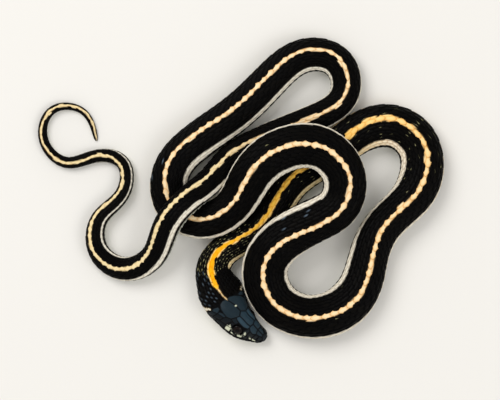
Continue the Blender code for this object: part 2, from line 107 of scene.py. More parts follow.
HEAD_UP = (
    (0, 1.0), (22, 0.985), (38, 0.92), (60, 0.68), (80, 0.44), (95, 0.32), (105, 0.25), (122, 0.10),
    (150.8, 0.0), (180, 0.0),
)
HEAD_SHARE = ((0, 0.5), (4, 1.0), (12, 1.0), (17, 0.5), (24, 0.0), (LENGTH, 0.0))

# Where the body twists: how far the stripe of the back lies to the left of its middle line, in millimetres
BACK_SHIFT = (
    (0, 0), (17, 0), (19, 0.35), (21, 0.85), (25, 0.95), (30, 0.7), (35, 1.1), (40, 1.65), (45, 1.1),
    (55, 0.8), (62, 1.2), (68, 1.65), (83, 1.45), (95, 1.0), (104, 1.1), (108, 1.8), (115, 2.5), (121, 2.8),
    (130, 2.15), (136, 2.3), (140, 1.8), (150, 0.8), (160, 0), (168, 0.05), (175, 0.75), (182, 1.35),
    (194, 1.4), (200, 0.8), (210, 0.1), (220, 0.6), (230, 1.05), (238, 0.9), (248, 0.2), (255, -0.4),
    (262, -1.7), (269, -2.3), (280, -1.75), (290, -1.85), (300, -1.0), (309, -0.55), (320, -0.85),
    (326, -1.15), (340, -1.05), (350, -0.6), (362, -0.15), (370, 0.5), (378, 1.1), (386, 2.25), (395, 2.85),
    (405, 2.5), (420, 1.8), (440, 1.75), (453, 2.0), (460, 1.8), (466, 1.25), (472, 0.7), (480, -0.15),
    (497, -0.6), (517, -1.4), (530, -1.65), (540, -2.1), (549, -3.0), (565, -3.3), (575, -2.45), (580, -1.2),
    (586, 0.1), (594, 1.3), (602, 2.2), (610, 2.4), (620, 1.9), (630, 1.7), (636, 1.3), (641, 0.1),
    (646, -0.2), (651, 0.3), (662, 0.3), (670, 0.6), (680, 0.25), (700, 0.4), (706, 0.2),
)


def profile(stations, at):
    """The value of a profile at some distances: a smooth curve that never overshoots its stations."""
    x, y = np.array(stations, float).T
    run = np.diff(x)
    slope = np.diff(y) / run
    tangent = np.zeros(len(x))
    tangent[0] = slope[0]
    tangent[-1] = slope[-1]
    before = 2 * run[1:] + run[:-1]
    after = run[1:] + 2 * run[:-1]
    rising = slope[1:] * slope[:-1] > 0
    ahead = np.where(rising, slope[1:], 1.0)
    behind = np.where(rising, slope[:-1], 1.0)
    mean = (before + after) * ahead * behind / (before * ahead + after * behind)
    tangent[1:-1] = np.where(rising, mean, 0.0)
    at = np.clip(np.asarray(at, float), x[0], x[-1])
    i = np.clip(np.searchsorted(x, at) - 1, 0, len(run) - 1)
    t = (at - x[i]) / run[i]
    rise = y[i] * (2 * t**3 - 3 * t**2 + 1) + y[i + 1] * (3 * t**2 - 2 * t**3)
    return rise + run[i] * (tangent[i] * (t**3 - 2 * t**2 + t) + tangent[i + 1] * (t**3 - t**2))


def natural_spline(knots, values, at):
    """A natural cubic spline through the values at the knots."""
    run = np.diff(knots)
    count = len(knots)
    system = np.eye(count)
    right = np.zeros(count)
    for i in range(1, count - 1):
        system[i, i - 1 : i + 2] = run[i - 1], 2 * (run[i - 1] + run[i]), run[i]
        right[i] = 6 * ((values[i + 1] - values[i]) / run[i] - (values[i] - values[i - 1]) / run[i - 1])
    bend = np.linalg.solve(system, right)
    i = np.clip(np.searchsorted(knots, at) - 1, 0, count - 2)
    a = (knots[i + 1] - at) / run[i]
    b = (at - knots[i]) / run[i]
    curve = (a**3 - a) * bend[i] + (b**3 - b) * bend[i + 1]
    return a * values[i] + b * values[i + 1] + curve * run[i] ** 2 / 6


# The line over the ground that the body follows
route_points = np.array(ROUTE, float) + np.array(FOOTPRINT_SHIFT)
route_knots = np.r_[0, np.cumsum(np.linalg.norm(np.diff(route_points, axis=0), axis=1))]
route_fine = np.linspace(0, route_knots[-1], 8000)
route_line = np.stack([natural_spline(route_knots, route_points[:, k], route_fine) for k in (0, 1)], 1)
route_run = np.r_[0, np.cumsum(np.linalg.norm(np.diff(route_line, axis=0), axis=1))]
route_run *= LENGTH / route_run[-1]
route_way = np.gradient(route_line, axis=0)
route_way /= np.linalg.norm(route_way, axis=1)[:, None]


def over_ground(s):
    """(points, directions to the left of travel, directions of travel) of the route at some distances."""
    point = np.stack([np.interp(s, route_run, route_line[:, k]) for k in (0, 1)], -1)
    way = np.stack([np.interp(s, route_run, route_way[:, k]) for k in (0, 1)], -1)
    way /= np.linalg.norm(way, axis=-1)[..., None]
    point = point + way * np.minimum(s, 0.0)[..., None]
    return point, np.stack([-way[..., 1], way[..., 0]], -1), way


def middle_height(s):
    low = profile(CHIN, s)
    return low + (profile(HEIGHT, s) - low) * profile(WIDEST_SHARE, s)


def section(s, angle):
    """(to the left, height over the belly) of the surface at some distances and angles from the back."""
    wide, top, low = profile(HALF_WIDTH, s), profile(HEIGHT, s), profile(CHIN, s)
    middle = middle_height(s)
    cos, sin = np.cos(angle), np.sin(angle)
    over = cos >= 0
    power = np.where(over, profile(TOP_POWER, s), BELLY_POWER)
    reach = np.where(over, top - middle, (middle - low) * BELLY_DEPTH)
    out = wide * np.abs(sin) ** (2 / power)
    up = middle + np.where(over, 1, -1) * reach * np.abs(cos) ** (2 / power)
    degrees = np.degrees(np.abs(np.angle(np.exp(1j * angle))))
    head = profile(HEAD_SHARE, s)
    out = out + head * (wide * profile(HEAD_OUT, degrees) - out)
    up = up + head * (low + (top - low) * profile(HEAD_UP, degrees) - up)
    return np.where(sin >= 0, 1, -1) * out, np.maximum(up, low)


# A table of the way round the body: the angle for each share of the half girth, from the back to the belly
TABLE_STEP = 0.5
table_s = np.arange(0, LENGTH + TABLE_STEP / 2, TABLE_STEP)
table_angles = np.radians(np.arange(0, 181, 2))
table_out, table_up = section(*np.meshgrid(table_s, table_angles, indexing="ij"))
table_steps = np.hypot(np.diff(table_out, axis=1, prepend=0), np.diff(table_up, axis=1, prepend=0))
table_arc = np.cumsum(table_steps, axis=1)
table_arc -= table_arc[:, :1]
table_girth = table_arc[:, -1]
table_shares = np.linspace(0, 1, 101)
angle_table = np.array([np.interp(table_shares * row[-1], row, table_angles) for row in table_arc])
table_roll = np.radians(profile(ROLL_DEGREES, table_s))
table_middle = middle_height(table_s)
low_points = table_middle[:, None] - table_out * np.abs(np.sin(table_roll))[:, None]
low_points = low_points + (table_up - table_middle[:, None]) * np.cos(table_roll)[:, None]
table_lift = profile(LIFT, table_s) - np.minimum(0.0, low_points.min(axis=1))


def half_girth(s):
    return np.interp(s, table_s, table_girth)


def angle_of(s, share):
    """The angle for a share of the half girth. Past 1 it goes on round the belly and up the far side."""
    side = np.where(share < 0, -1, 1)
    size = np.abs(share)
    past = size > 1
    size = np.where(past, 2 - size, size)
    row = np.clip(s / TABLE_STEP, 0, len(table_s) - 1.001)
    column = np.clip(size * (len(table_shares) - 1), 0, len(table_shares) - 1.001)
    i, j = row.astype(int), column.astype(int)
    f, g = row - i, column - j
    near = angle_table[i, j] * (1 - g) + angle_table[i, j + 1] * g
    far = angle_table[i + 1, j] * (1 - g) + angle_table[i + 1, j + 1] * g
    angle = near * (1 - f) + far * f
    return side * np.where(past, 2 * math.pi - angle, angle)


def lay(s, share, proud=0.0):
    """Points in metres on the body's surface, or proud of it, by distance and share of the half girth."""
    s, share, proud = (np.array(a, float) for a in np.broadcast_arrays(s, share, proud))
    out, up = section(s, angle_of(s, share))
    before = section(s, angle_of(s, share - 0.012))
    after = section(s, angle_of(s, share + 0.012))
    across = np.stack([after[0] - before[0], after[1] - before[1]])
    across /= np.maximum(np.hypot(*across), 1e-6)
    out, up = out - across[1] * proud, up + across[0] * proud
    middle = middle_height(s)
    roll = np.radians(profile(ROLL_DEGREES, s))
    cos, sin = np.cos(roll), np.sin(roll)
    rise = up - middle
    out, up = out * cos - rise * sin, middle + out * sin + rise * cos
    point, left, _ = over_ground(s)
    height = np.maximum(up + np.interp(s, table_s, table_lift), 0.0)
    return np.stack([point[..., 0] + left[..., 0] * out, point[..., 1] + left[..., 1] * out, height], -1) * MM


def lean(s):
    """How far the pattern of the back is shifted round the body, as a share of the half girth."""
    return profile(BACK_SHIFT, s) / half_girth(s)


def add_piece(name, points, faces, ends=()):
    """An object from points and rows of four-cornered faces, with any many-cornered end faces after them."""
    corners = [*np.asarray(faces).ravel()]
    totals = [4] * len(faces)
    for end in ends:
        corners.extend(end)
        totals.append(len(end))
    mesh = bpy.data.meshes.new(name)
    mesh.vertices.add(len(points))
    mesh.vertices.foreach_set("co", np.asarray(points, np.float32).ravel())
    mesh.loops.add(len(corners))
    mesh.loops.foreach_set("vertex_index", np.array(corners, np.int32))
    mesh.polygons.add(len(totals))
    mesh.polygons.foreach_set("loop_start", np.r_[0, np.cumsum(totals)[:-1]].astype(np.int32))
    mesh.polygons.foreach_set("use_smooth", np.ones(len(totals), bool))
    mesh.update(calc_edges=True)
    piece = bpy.data.objects.new(name, mesh)
    bpy.context.scene.collection.objects.link(piece)
    return piece


def tube_faces(rings, sides):
    """Faces between rings of points that close on themselves."""
    ring, side = np.meshgrid(np.arange(rings - 1), np.arange(sides), indexing="ij")
    here = ring * sides + side
    beside = ring * sides + (side + 1) % sides
    return np.stack([here, here + sides, beside + sides, beside], -1).reshape(-1, 4)


def write_mask(piece, name, values):
    """Keeps one number for each point of a mesh, for its material to read."""
    layer = piece.data.attributes.new(name, "FLOAT", "POINT")
    layer.data.foreach_set("value", np.asarray(values, np.float32).ravel())


# Where the stripes run: half widths in millimetres on the back, and shares of the half girth on the flanks
BACK_REACH = 0.2
BACK_STRIPE = (
    (20, 0.0), (20.9, 0.12), (24, 0.14), (25.5, 0.25), (27, 0.75), (29, 1.2), (34, 1.3), (40, 1.1),
    (45, 0.75), (50, 0.65), (55, 0.7), (60, 0.85), (66, 1.0), (85, 0.9), (104, 0.95), (130, 0.85),
    (150, 0.6), (505, 0.6), (515, 0.65), (580, 0.6), (640, 0.5), (665, 0.42), (700, 0.36), (706, 0.2),
)
BACK_WARMTH = (
    (20, 0.3), (25, 0.32), (27, 0.85), (30, 0.97), (42, 0.93), (50, 0.74), (85, 0.58), (104, 0.5),
    (115, 0.42), (130, 0.37), (150, 0.28), (300, 0.22), (706, 0.24),
)
EDGE_WARMTH = 0.42
FLANK_STRIPE_AT = 0.437
FLANK_STRIPE_HALF = (
    (26, 0.0), (35, 0.0), (38, 0.05), (60, 0.05), (95, 0.055), (125, 0.062), (398, 0.062), (410, 0.046),
    (480, 0.046), (500, 0.056), (540, 0.062), (578, 0.062), (592, 0.042), (610, 0.034), (640, 0.028),
    (655, 0.0), (706, 0.0),
)
FLANK_WARMTH = ((20, 0.25), (90, 0.22), (130, 0.08), (160, 0.02), (706, 0.0))

# Notches in the edges of the stripe where it is broad, on the left and on the right, by distance
LEFT_NOTCHES = (54.8, 64.5, 73.4, 110.5, 116.5, 123.0, 129.3, 133.7, 139.0, 142.4, 148.7)
RIGHT_NOTCHES = (43.5, 49.0, 73.0, 108.0, 113.0, 118.0, 122.4, 127.0, 131.5, 136.5, 142.0)
NOTCH_DEPTH = 0.5
NOTCH_HALF = 0.9


def soft_step(value):
    value = np.clip(value, 0.0, 1.0)
    return value * value * (3 - 2 * value)


def markings(s, share, ragged=0.0):
    """(paleness, warmth) of the stripes, by distance and share of the half girth from the stripe's middle."""
    across = np.abs(share) * half_girth(s)
    left_bite = sum(np.exp(-(((s - at) / NOTCH_HALF) ** 2)) for at in LEFT_NOTCHES)
    right_bite = sum(np.exp(-(((s - at) / NOTCH_HALF) ** 2)) for at in RIGHT_NOTCHES)
    half = profile(BACK_STRIPE, s) * (1 - NOTCH_DEPTH * np.where(share > 0, left_bite, right_bite))
    back = soft_step((half * (1 + ragged) - across) / 0.3 + 0.5) * (half > 0.05)
    edge = soft_step((across / np.maximum(half, 0.1) - 0.55) / 0.35)
    warm = profile(BACK_WARMTH, s)
    back_warmth = warm + edge * (EDGE_WARMTH - warm) * soft_step((90 - s) / 40) * soft_step((s - 26) / 3)
    half = profile(FLANK_STRIPE_HALF, s)
    flank = half * (1 + 0.4 * ragged) - np.abs(np.abs(share) - FLANK_STRIPE_AT)
    flank = soft_step(flank / 0.016 + 0.5) * (half > 0.005)
    on_back = across < BACK_REACH * half_girth(s)
    return np.where(on_back, back, flank), np.where(on_back, back_warmth, profile(FLANK_WARMTH, s))


def from_cheek_patch(s, arc):
    """1 on the rim of the slanting white patch behind the jaw, less inside it, by distance and way round."""
    above = arc - 9.2
    return np.hypot((s - 21.7 - 0.33 * above) / 0.6, above / 2.3)


def shade(red, green, blue):
    """A colour as it looks on a screen, 0 to 255, turned into the light that a surface gives back."""
    values = np.array([red, green, blue]) / 255
    return (*np.where(values <= 0.04045, values / 12.92, ((values + 0.055) / 1.055) ** 2.4), 1.0)


BLACK = shade(12, 10, 9)
STRIPE_TONES = (
    (0.0, shade(240, 234, 216)), (0.25, shade(247, 225, 182)), (0.45, shade(252, 212, 134)),
    (0.62, shade(255, 206, 86)), (0.8, shade(255, 194, 46)), (1.0, shade(255, 172, 12)),
)
STRIPE_RIMS = (
    (0.0, shade(206, 196, 180)), (0.25, shade(226, 166, 84)), (0.62, shade(236, 166, 40)),
    (1.0, shade(250, 156, 0)),
)


def new_finish(name):
    """(material, node tree, shader) of a fresh material."""
    made = bpy.data.materials.new(name)
    made.use_nodes = True
    return made, made.node_tree, made.node_tree.nodes["Principled BSDF"]


def mask_node(tree, name):
    node = tree.nodes.new("ShaderNodeAttribute")
    node.attribute_name = name
    return node.outputs["Fac"]


def colour_mix(tree, factor, first, second):
    """Mixes two colours, each a socket or a plain colour, by a socket or number."""
    node = tree.nodes.new("ShaderNodeMix")
    node.data_type = "RGBA"
    for socket, value in ((node.inputs[0], factor), (node.inputs[6], first), (node.inputs[7], second)):
        if isinstance(value, bpy.types.NodeSocket):
            tree.links.new(value, socket)
        else:
            socket.default_value = value
    return node.outputs[2]


def cover(tree, base, mask, colour):
    """Covers a colour with another as far as a mask of the mesh says."""
    return colour_mix(tree, mask_node(tree, mask), base, colour)


def number_node(tree, operation, first, second=0.0):
    node = tree.nodes.new("ShaderNodeMath")
    node.operation = operation
    for socket, value in zip(node.inputs, (first, second)):
        if isinstance(value, bpy.types.NodeSocket):
            tree.links.new(value, socket)
        else:
            socket.default_value = value
    return node.outputs[0]


def noise_node(tree, scale, detail=3.0, roughness=0.55):
    """Cloudy noise in the object's own space. The scale counts blotches to the metre."""
    place_node = tree.nodes.new("ShaderNodeTexCoord")
    node = tree.nodes.new("ShaderNodeTexNoise")
    node.inputs["Scale"].default_value = scale
    node.inputs["Detail"].default_value = detail
    node.inputs["Roughness"].default_value = roughness
    tree.links.new(place_node.outputs["Object"], node.inputs["Vector"])
    return node.outputs["Fac"]


def ramp_node(tree, factor, tones):
    node = tree.nodes.new("ShaderNodeValToRGB")
    stops = node.color_ramp.elements
    while len(stops) < len(tones):
        stops.new(0.5)
    for stop, (position, colour) in zip(stops, tones):
        stop.position = position
        stop.color = colour
    tree.links.new(factor, node.inputs["Fac"])
    return node.outputs["Color"]


def bump_node(tree, height, distance, strength=1.0):
    node = tree.nodes.new("ShaderNodeBump")
    node.inputs["Distance"].default_value = distance
    node.inputs["Strength"].default_value = strength
    tree.links.new(height, node.inputs["Height"])
    return node.outputs["Normal"]


skin_s = np.r_[np.arange(SKIN_FRONT, LENGTH - 0.1, SKIN_RING_STEP), LENGTH - 0.05]
skin_share = np.linspace(-1, 1, SKIN_SIDES + 1)[:-1]
grid_s, grid_share = np.meshgrid(skin_s, skin_share, indexing="ij")
skin_depth = np.where(np.abs(grid_share) > BELLY_SKIN_FROM, BELLY_SKIN_DEPTH, SKIN_DEPTH)
skin_depth = np.minimum(skin_depth, 0.3 * profile(HALF_WIDTH, grid_s))
skin_points = lay(grid_s, grid_share + lean(grid_s), -skin_depth).reshape(-1, 3)
first_ring = list(range(SKIN_SIDES))
last_ring = [len(skin_points) - 1 - i for i in range(SKIN_SIDES)]
skin = add_piece("skin", skin_points, tube_faces(len(skin_s), SKIN_SIDES), (first_ring, last_ring))
skin_pale, skin_warmth = markings(grid_s, grid_share)
write_mask(skin, "pale", skin_pale)
write_mask(skin, "warmth", skin_warmth)
finish, tree, shader = new_finish("dark_skin")
mottle = noise_node(tree, 2400)
hide = colour_mix(tree, mottle, shade(3, 3, 3), shade(11, 9, 8))
pale = ramp_node(tree, mask_node(tree, "warmth"), STRIPE_TONES)
dimmed = colour_mix(tree, 0.45, pale, BLACK)
tree.links.new(cover(tree, hide, "pale", dimmed), shader.inputs["Base Color"])
shader.inputs["Roughness"].default_value = 0.6
tree.links.new(bump_node(tree, mottle, 0.0001, 0.5), shader.inputs["Normal"])
skin.data.materials.append(finish)
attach(skin, "root")
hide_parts("neck", *(f"body_{n:02d}" for n in range(1, 15)), *(f"tail_{n}" for n in range(1, 8)))

# The scales of the back and flanks
# Nineteen rows of small keeled scales, each a fold of horny skin with its tip over the roots of the next
# ones. One scale is modelled flat, then laid down in rows that stagger by half a scale, to the tail's tip.

COAT_EDGE = 0.57
ROWS_EACH_SIDE = 9
SCALE_FRONT = 20.6
SCALE_PITCH = (
    (20, 1.7), (28, 2.0), (40, 2.5), (90, 3.1), (150, 3.35), (500, 3.3), (536, 2.9), (560, 2.4), (620, 2.0),
    (680, 1.7), (706, 1.4),
)
SCALE_OVERLAP = 1.5
SCALE_FULLNESS = 1.45
BACK_ROW_FULLNESS = ((20, 2.0), (560, 2.0), (640, 1.3), (670, 1.05), (706, 0.95))
BACK_ROW_NOTCH = 0.3
BACK_ROW_LIFT = 0.05
SCALE_ROOT = -0.11
SCALE_TIP = 0.15
SCALE_KEEL = 0.07
SCALE_THICK = 0.1
SCALE_OUTLINE = ((0, 0.5), (0.2, 0.8), (0.45, 1.0), (0.7, 0.88), (0.88, 0.58), (1, 0.14))
SCALE_ACROSS = (-1.0, -0.5, -0.13, 0.0, 0.13, 0.5, 1.0)
TAIL_ROWS = ((VENT, 9), (545, 7), (575, 6), (598, 5), (625, 4), (655, 3), (690, 2))
COAT_ENDS = (0.0, 165.0, 315.0, 460.0, 707.0)
BAKE_STRIPS = 4

# One scale, flat: x runs from its root to its tip, y across it, z is how far it stands up, as shares
bpy.ops.mesh.primitive_grid_add(
    x_subdivisions=len(SCALE_OUTLINE) - 1, y_subdivisions=len(SCALE_ACROSS) - 1, size=2
)
master = bpy.context.object
master_columns = np.linspace(-1, 1, len(SCALE_OUTLINE))
master_rows = np.linspace(-1, 1, len(SCALE_ACROSS))
for vertex in master.data.vertices:
    along, reach = SCALE_OUTLINE[int(np.argmin(np.abs(master_columns - vertex.co.x)))]
    across = SCALE_ACROSS[int(np.argmin(np.abs(master_rows - vertex.co.y)))]
    vertex.co = (along, across * reach, 0.0)
bpy.ops.object.mode_set(mode="EDIT")
bpy.ops.mesh.select_all(action="SELECT")
bpy.ops.mesh.extrude_region_move(TRANSFORM_OT_translate={"value": (0, 0, -1)})
bpy.ops.mesh.dissolve_faces()
bpy.ops.mesh.select_all(action="SELECT")
bpy.ops.mesh.normals_make_consistent(inside=False)
bpy.ops.object.mode_set(mode="OBJECT")
master_points = np.array([v.co[:] for v in master.data.vertices])
master_faces = [list(p.vertices) for p in master.data.polygons]
bpy.data.objects.remove(master)
master_quads = np.array([f for f in master_faces if len(f) == 4])
master_under = [f for f in master_faces if len(f) > 4]


def rows_at(s):
    """How many rows of scales each side of the middle row the body carries at a distance."""
    count = ROWS_EACH_SIDE
    for start, rows in TAIL_ROWS:
        if s >= start:
            count = rows
    return count


def scale_places():
    """(distance, row, rows each side, pitch) of each scale, from the nape to the tip of the tail."""
    found = []
    s = SCALE_FRONT
    rank = 0
    while s < LENGTH - 1.0:
        pitch = float(profile(SCALE_PITCH, s))
        rows = rows_at(s)
        for row in range(-rows, rows + 1):
            if (row + rank) % 2 == 0:
                found.append((s, row, rows, pitch))
        s += pitch / 2
        rank += 1
    return np.array(found)


# Pale flecks on the sides of the scales: how many scales have them. They crowd behind the black blotches of
# the nape, then gather in bars across the neck, and thin out
FLECK_SHARE = (
    (20, 0.0), (28, 0.0), (30, 0.95), (44, 0.9), (50, 0.5), (54, 0.12), (100, 0.05), (150, 0.012), (706, 0.0),
)
BAR_SHARE = (
    (20, 0.0), (50, 0.0), (54, 0.75), (75, 0.6), (100, 0.75), (135, 0.7), (150, 0.25), (170, 0.0), (706, 0.0),
)
BAR_STEP = 5.25
BAR_AT = 105.2
BAR_HALF = 0.85
BLOTCH_REAR = (29.0, 0.33)
BLOTCH_REAR_RIGHT = (28.0, 1.4)

chance = np.random.default_rng(19)
places = scale_places()
scale_s, scale_row, scale_rows, scale_pitch = places.T
row_share = COAT_EDGE / (scale_rows + 0.5)
scale_share = scale_row * row_share
jitter = chance.normal(0, 1, (len(places), 4))
scale_tone = chance.random(len(places))
in_bar = np.abs((scale_s - BAR_AT + BAR_STEP / 2) % BAR_STEP - BAR_STEP / 2) < BAR_HALF
fleck_share = np.maximum(profile(FLECK_SHARE, scale_s), profile(BAR_SHARE, scale_s) * in_bar)
scale_across = np.abs(scale_share) * half_girth(scale_s)
left_rear, right_rear = (start + slope * scale_across for start, slope in (BLOTCH_REAR, BLOTCH_REAR_RIGHT))
behind = scale_s > np.where(scale_row > 0, left_rear, right_rear)
scale_fleck = (chance.random(len(places)) < fleck_share) & behind & (np.abs(scale_row) < 7)
fleck_strength = np.where(scale_s < 52, 1.7, 0.8 + 0.6 * chance.random(len(places)))
scale_length = scale_pitch * SCALE_OVERLAP * (1 + 0.03 * jitter[:, 0])
size_down = np.minimum(1.0, profile(HALF_WIDTH, scale_s) / 5.0)
u, v, deep = master_points.T
points_s = scale_s[:, None] + (u - 0.35) * scale_length[:, None]
points_s = np.clip(points_s + 0.05 * jitter[:, 1:2] * scale_pitch[:, None], 0, LENGTH)
back_row = scale_row == 0
back_fullness = profile(BACK_ROW_FULLNESS, scale_s) * (1 + 0.07 * jitter[:, 3])
fullness = np.where(back_row, back_fullness, SCALE_FULLNESS)
row_width = row_share * fullness / 2 * (1 + 0.12 * (np.abs(scale_row) >= scale_rows))
sway = 0.1 * row_share * jitter[:, 3] * back_row
# Along the back the scales go in pairs: the stripe is narrower between one pair and the next
pair_end = np.where(np.round(scale_s / np.maximum(scale_pitch, 0.1)) % 2 < 1, 1.0, -1.0)
in_pairs = (back_row & (scale_s > 125))[:, None]
notch = 1 - BACK_ROW_NOTCH * in_pairs * soft_step(pair_end[:, None] * (u - 0.5) * 2)
points_share = (scale_share + sway)[:, None] + v * row_width[:, None] * notch
rise = SCALE_ROOT + (SCALE_TIP - SCALE_ROOT) * u
keel = SCALE_KEEL * np.clip(1 - np.abs(v) / 0.16, 0, 1) * np.clip(u * 4, 0, 1) * np.clip((1.1 - u) * 5, 0, 1)
droop = -0.09 * v**2
thick = np.where(deep < -0.5, -SCALE_THICK, 0.0)
tilt = jitter[:, 2:3] * 0.012
points_proud = (rise + keel + droop + thick + tilt + BACK_ROW_LIFT * back_row[:, None]) * size_down[:, None]
laid = lay(points_s, points_share + lean(points_s), points_proud)

ragged = (0.16 + 0.24 * (np.abs(scale_row) == 1))[:, None] * jitter[:, 3:4] - 0.28 * np.abs(v)
coat_pale, coat_warmth = markings(points_s, points_share, ragged)
whole = back_row & (scale_s > 34)
coat_pale = np.maximum(coat_pale, whole[:, None] * (1 - 0.6 * (u < 0.1)))
points_arc = np.abs(points_share) * half_girth(points_s)
on_cheek = soft_step((1.15 - from_cheek_patch(points_s, points_arc)) / 0.3)
coat_pale = np.maximum(coat_pale, on_cheek)
coat_warmth = coat_warmth * (1 - on_cheek)
coat_rim = np.clip((np.abs(v) - 0.3) / 0.5, 0, 1) + np.clip(u * 5 - 4.0, 0, 1) + np.clip(1.6 - u * 4, 0, 1)
side_streak = (np.abs(v) > 0.9) * np.interp(u, (0.2, 0.45, 0.7, 0.88, 1.0), (0.0, 0.6, 1.0, 1.0, 0.3))
one_side = (scale_s < 52)[:, None] | (v * jitter[:, 1:2] > 0)
coat_fleck = np.clip((scale_fleck * fleck_strength)[:, None] * side_streak * one_side, 0, 1)
beside_stripe = (np.abs(scale_row) == 1) & (scale_s > 60)
toward_back = (v * np.sign(scale_row)[:, None] < -0.9) & (u > 0.3) & (u < 0.95)
coat_gold = beside_stripe[:, None] * toward_back * (0.35 + 0.5 * chance.random(len(places)))[:, None]
on_flank = points_arc > BACK_REACH * half_girth(points_s)
flank_olive = (1 - on_cheek) * soft_step((125 - points_s) / 35)
coat_olive = np.where(on_flank, flank_olive, soft_step((points_s - 500) / 40))
# Painted highlights: small bluish glints painted on the keels, many on the black of the nape, a few where the
# back faces the light
PAINTED_GLINT_PLACES = ((20.6, 32, 0.75), (238, 272, 0.05), (380, 412, 0.05))
painted_glint_share = sum(share * ((scale_s > front) & (scale_s < rear)) for front, rear, share in PAINTED_GLINT_PLACES)
scale_painted_glint = (chance.random(len(places)) < painted_glint_share) & (scale_row > 1) & (scale_row < 8)
painted_glint_strength = np.where(scale_s < 32, 0.35, 0.6) * (0.6 + 0.4 * scale_tone)
coat_painted_glint = (scale_painted_glint * painted_glint_strength)[:, None] * (np.abs(v) < 0.2) * ((u > 0.6) & (u < 0.8))
coat_low = soft_step((np.abs(points_share) - 0.51) / 0.02)

finish, tree, shader = new_finish("black_scales")
mottle = noise_node(tree, 3000)
black = colour_mix(tree, mask_node(tree, "tone"), shade(4, 3, 3), shade(10, 8, 6))
black = cover(tree, black, "low", shade(20, 17, 14))
black = cover(tree, black, "rim", shade(4, 4, 4))
black = cover(tree, black, "gold", shade(206, 144, 66))
black = cover(tree, black, "fleck", shade(250, 242, 176))
# Painted highlights: bluish glints on some keels
black = cover(tree, black, "painted_glint", shade(112, 130, 146))
pale = ramp_node(tree, mask_node(tree, "warmth"), STRIPE_TONES)
rims = ramp_node(tree, mask_node(tree, "warmth"), STRIPE_RIMS)
pale = colour_mix(tree, number_node(tree, "MULTIPLY", mottle, 0.3), pale, rims)
rimmed = number_node(tree, "MULTIPLY", mask_node(tree, "rim"), 0.8)
pale = colour_mix(tree, rimmed, pale, rims)
olive = number_node(tree, "MULTIPLY", mask_node(tree, "olive"), 0.7)
pale = colour_mix(tree, olive, pale, shade(226, 208, 158))
tree.links.new(cover(tree, black, "pale", pale), shader.inputs["Base Color"])
rough = number_node(tree, "MULTIPLY_ADD", mottle, 0.2)
rough.node.inputs[2].default_value = 0.3
tree.links.new(rough, shader.inputs["Roughness"])
shader.inputs["Specular IOR Level"].default_value = 0.03
tree.links.new(bump_node(tree, mottle, 0.00006, 0.6), shader.inputs["Normal"])
scale_finish = finish


def bake_map(piece, spot_s, spot_share, front, rear):
    """A map where each scale is its own small patch, at its root's place on the skin unrolled into strips."""
    run = (spot_s - front) / (rear - front) * BAKE_STRIPS
    strip = np.clip(np.floor(run), 0, BAKE_STRIPS - 1)
    across = (spot_share / COAT_EDGE + 1.1) / 2.2
    centre = np.stack([0.02 + 0.94 * (run - strip), (strip + across) / BAKE_STRIPS], -1)
    shape = np.stack([(u - 0.5) * 0.018, v * 0.005], -1)
    spots = (centre[:, None, :] + shape[None, :, :]).reshape(-1, 2)
    layer = piece.data.uv_layers.new(name="OFBake")
    corner = np.empty(len(piece.data.loops), np.int32)
    piece.data.loops.foreach_get("vertex_index", corner)
    layer.data.foreach_set("uv", spots[corner].astype(np.float32).ravel())


coat_masks = {
    "pale": coat_pale, "warmth": coat_warmth, "rim": np.broadcast_to(np.clip(coat_rim, 0, 1), laid.shape[:2]),
    "fleck": coat_fleck, "gold": coat_gold, "olive": coat_olive, "painted_glint": coat_painted_glint, "low": coat_low,
    "tone": np.broadcast_to(scale_tone[:, None], laid.shape[:2]),
}
for number, (front, rear) in enumerate(zip(COAT_ENDS, COAT_ENDS[1:]), 1):
    here = np.flatnonzero((scale_s >= front) & (scale_s < rear))
    base = np.arange(len(here)) * len(master_points)
    quads = (master_quads[None] + base[:, None, None]).reshape(-1, 4)
    unders = [[i + start for i in face] for start in base for face in master_under]
    piece = add_piece(f"scales_{number}", laid[here].reshape(-1, 3), quads, unders)
    for mask, values in coat_masks.items():
        write_mask(piece, mask, values[here])
    bake_map(piece, scale_s[here], scale_share[here], front, min(rear, LENGTH))
    piece.data.materials.append(scale_finish)
    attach(piece, "root")

# The belly scutes
# One broad smooth scute spans the belly for each pair of ribs, and grips the ground with its rear edge. Past
# the vent they are shorter. They are pale, with a dark spot near each end.

SCUTE_EDGE = 0.525
SCUTE_PITCH = ((20, 2.3), (60, 2.9), (150, 3.3), (500, 3.3), (536, 2.9), (580, 2.2), (650, 1.9), (706, 1.5))
SCUTE_OVERLAP = 1.3
SCUTE_ROOT = -0.3
SCUTE_TIP = -0.02
SCUTE_THICK = 0.1
SCUTE_ACROSS = 27
SCUTE_ALONG = (0.0, 0.35, 0.7, 0.93, 1.0)

scute_starts = [21.5]
while scute_starts[-1] < LENGTH - 3:
    scute_starts.append(scute_starts[-1] + float(profile(SCUTE_PITCH, scute_starts[-1])))
scute_s = np.array(scute_starts)
scute_length = profile(SCUTE_PITCH, scute_s) * SCUTE_OVERLAP
scute_t = np.linspace(0, 1, SCUTE_ACROSS)
scute_u = np.array(SCUTE_ALONG)
u_grid, t_grid = np.meshgrid(scute_u, scute_t, indexing="ij")
bow = 0.10 * (1 - (2 * t_grid - 1) ** 2)
points_s = scute_s[:, None, None] + (u_grid - 0.2 + bow) * scute_length[:, None, None]
points_s = np.clip(points_s, 0, LENGTH)
points_share = SCUTE_EDGE + (2 - 2 * SCUTE_EDGE) * t_grid[None] + 0 * points_s
rise = (SCUTE_ROOT + (SCUTE_TIP - SCUTE_ROOT) * u_grid)[None]
rise = rise * np.minimum(1, profile(HALF_WIDTH, points_s) / 5)
upper = lay(points_s, points_share + lean(points_s), rise)
lower = lay(points_s, points_share + lean(points_s), rise - SCUTE_THICK)
count, along, wide = upper.shape[:3]
layer = np.arange(along * wide).reshape(along, wide)
